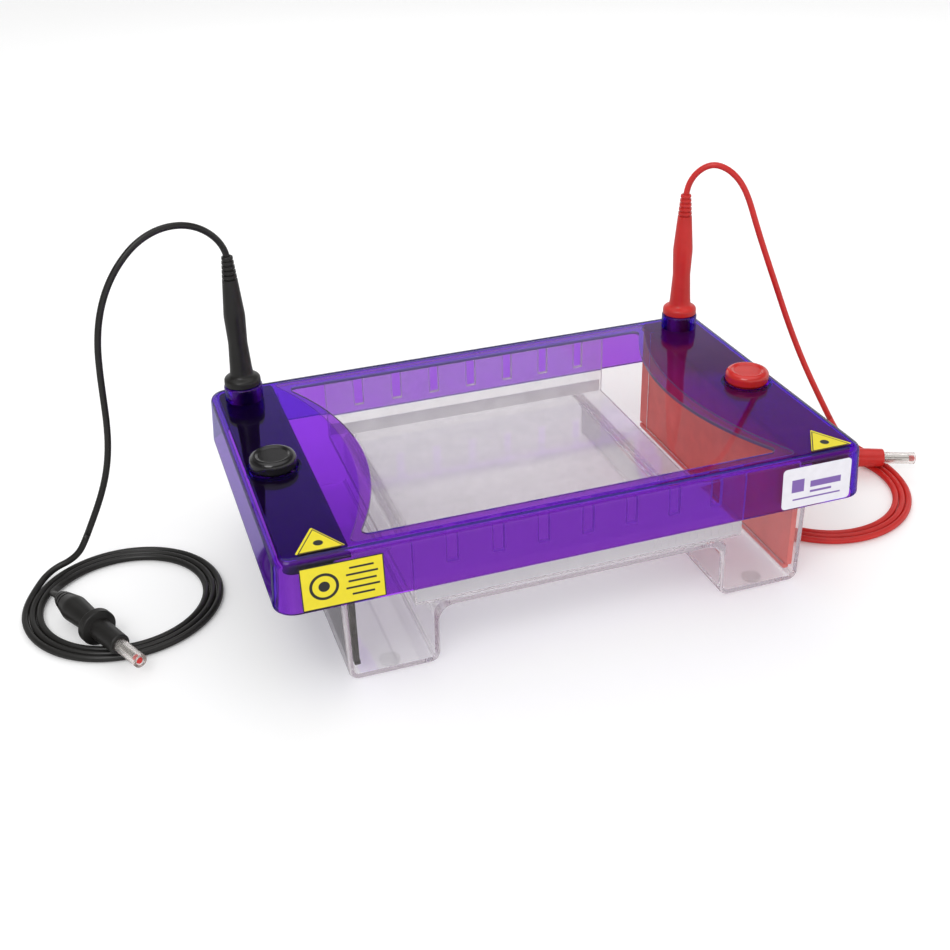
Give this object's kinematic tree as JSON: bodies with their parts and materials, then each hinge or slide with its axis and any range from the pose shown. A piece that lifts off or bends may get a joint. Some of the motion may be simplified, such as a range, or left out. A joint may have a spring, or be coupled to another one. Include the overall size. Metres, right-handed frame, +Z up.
{
  "type": "gel electrophoresis tank",
  "caption": "Horizontal gel electrophoresis tank: clear saddle trough, lift-out gel tray and electrode cassettes, violet lid with clear window, press buttons and two plug-in leads.",
  "frame": {"origin": "on the bench (underside of the bumper feet), under the middle of the whole footprint with both leads laid out; the tank's own middle plane is at x = +11.71 mm, y = 0", "axes": "+Z up, +X from the cathode (black) end to the anode (red) end, -Y towards the front skirt that carries the labels"},
  "size_m": [0.5883, 0.221, 0.2075],
  "materials": {
    "clear_tank": "clear moulded acrylic, faint warm grey",
    "clear_tray": "clear acrylic, slightly milky at its edges",
    "purple_lid": "transparent violet acrylic, high gloss",
    "clear_window": "clear acrylic pane, high gloss",
    "clear_sleeve": "clear plastic sleeve",
    "black_plastic": "moulded black, semi-gloss",
    "red_plastic": "moulded red, semi-gloss",
    "black_lead": "soft black cable and boots, satin",
    "red_lead": "soft red cable and boots, satin",
    "ruler_white": "translucent white strip",
    "yellow_label": "printed vinyl",
    "white_label": "printed vinyl",
    "nickel": "bright nickel plate",
    "brass": "brass",
    "platinum": "drawn wire",
    "spring_steel": "drawn wire",
    "bumper": "clear silicone"
  },
  "bodies": {
    "tank": {"tank_body": "clear_tank", "bumper_feet": "bumper", "black_bench_cable": "black_lead", "black_plug_body": "black_lead", "black_plug_pin": "nickel", "black_plug_tip": "red_plastic", "black_plug_spring": "spring_steel", "red_bench_cable": "red_lead", "red_plug_body": "red_lead", "red_plug_pin": "nickel", "red_plug_tip": "red_plastic", "red_plug_spring": "spring_steel"},
    "tray": {"gel_tray": "clear_tray", "tray_rulers": "ruler_white"},
    "lid": {"lid_shell": "purple_lid", "lid_window": "clear_window", "triangle_stickers": "yellow_label", "yellow_label": "yellow_label", "white_label": "white_label", "black_lead_grip": "black_lead", "black_lead_socket": "brass", "black_lid_cable": "black_lead", "red_lead_grip": "red_lead", "red_lead_socket": "brass", "red_lid_cable": "red_lead", "cathode_button_spring": "spring_steel", "anode_button_spring": "spring_steel"},
    "black_sleeve": {"black_plug_sleeve": "clear_sleeve"},
    "red_sleeve": {"red_plug_sleeve": "clear_sleeve"},
    "cathode_cassette": {"cathode_cassette_frame": "black_plastic", "cathode_wire_rail": "black_plastic", "cathode_electrode_wire": "platinum", "cathode_contact_pin": "brass", "cathode_pin_washer": "nickel", "cathode_pin_nut": "nickel"},
    "cathode_button": {"cathode_button_cap": "black_plastic", "cathode_button_clip": "spring_steel"},
    "anode_cassette": {"anode_cassette_frame": "red_plastic", "anode_wire_rail": "red_plastic", "anode_electrode_wire": "platinum", "anode_contact_pin": "brass", "anode_pin_washer": "nickel", "anode_pin_nut": "nickel"},
    "anode_button": {"anode_button_cap": "red_plastic", "anode_button_clip": "spring_steel"}
  },
  "joints": [
    {"name": "lid_lift", "type": "slide", "parent": "tank", "child": "lid", "axis": [0, 0, 1], "range_m": [0, 0.16]},
    {"name": "cathode_cassette_lift", "type": "slide", "parent": "tank", "child": "cathode_cassette", "axis": [0, 0, 1], "range_m": [0, 0.08]},
    {"name": "anode_cassette_lift", "type": "slide", "parent": "tank", "child": "anode_cassette", "axis": [0, 0, 1], "range_m": [0, 0.08]},
    {"name": "tray_lift", "type": "slide", "parent": "tank", "child": "tray", "axis": [0, 0, 1], "range_m": [0, 0.048]},
    {"name": "cathode_button_press", "type": "slide", "parent": "lid", "child": "cathode_button", "axis": [0, 0, -1], "range_m": [0, 0.0034], "stiffness_N_per_m": 900, "springref_m": -0.002, "deforming": ["cathode_button_spring"]},
    {"name": "anode_button_press", "type": "slide", "parent": "lid", "child": "anode_button", "axis": [0, 0, -1], "range_m": [0, 0.0034], "stiffness_N_per_m": 900, "springref_m": -0.002, "deforming": ["anode_button_spring"]},
    {"name": "black_sleeve_retract", "type": "slide", "parent": "tank", "child": "black_sleeve", "axis": [-0.4321, 0.9018, 0], "range_m": [0, 0.014], "stiffness_N_per_m": 150, "springref_m": -0.004, "deforming": ["black_plug_spring"]},
    {"name": "red_sleeve_retract", "type": "slide", "parent": "tank", "child": "red_sleeve", "axis": [-0.9178, 0.3971, 0], "range_m": [0, 0.014], "stiffness_N_per_m": 150, "springref_m": -0.004, "deforming": ["red_plug_spring"]}
  ],
  "couplings": [
    {"joint": "cathode_cassette_lift", "follows": "lid_lift", "ratio": 0.5},
    {"joint": "anode_cassette_lift", "follows": "lid_lift", "ratio": 0.5},
    {"joint": "tray_lift", "follows": "lid_lift", "ratio": 0.3}
  ]
}
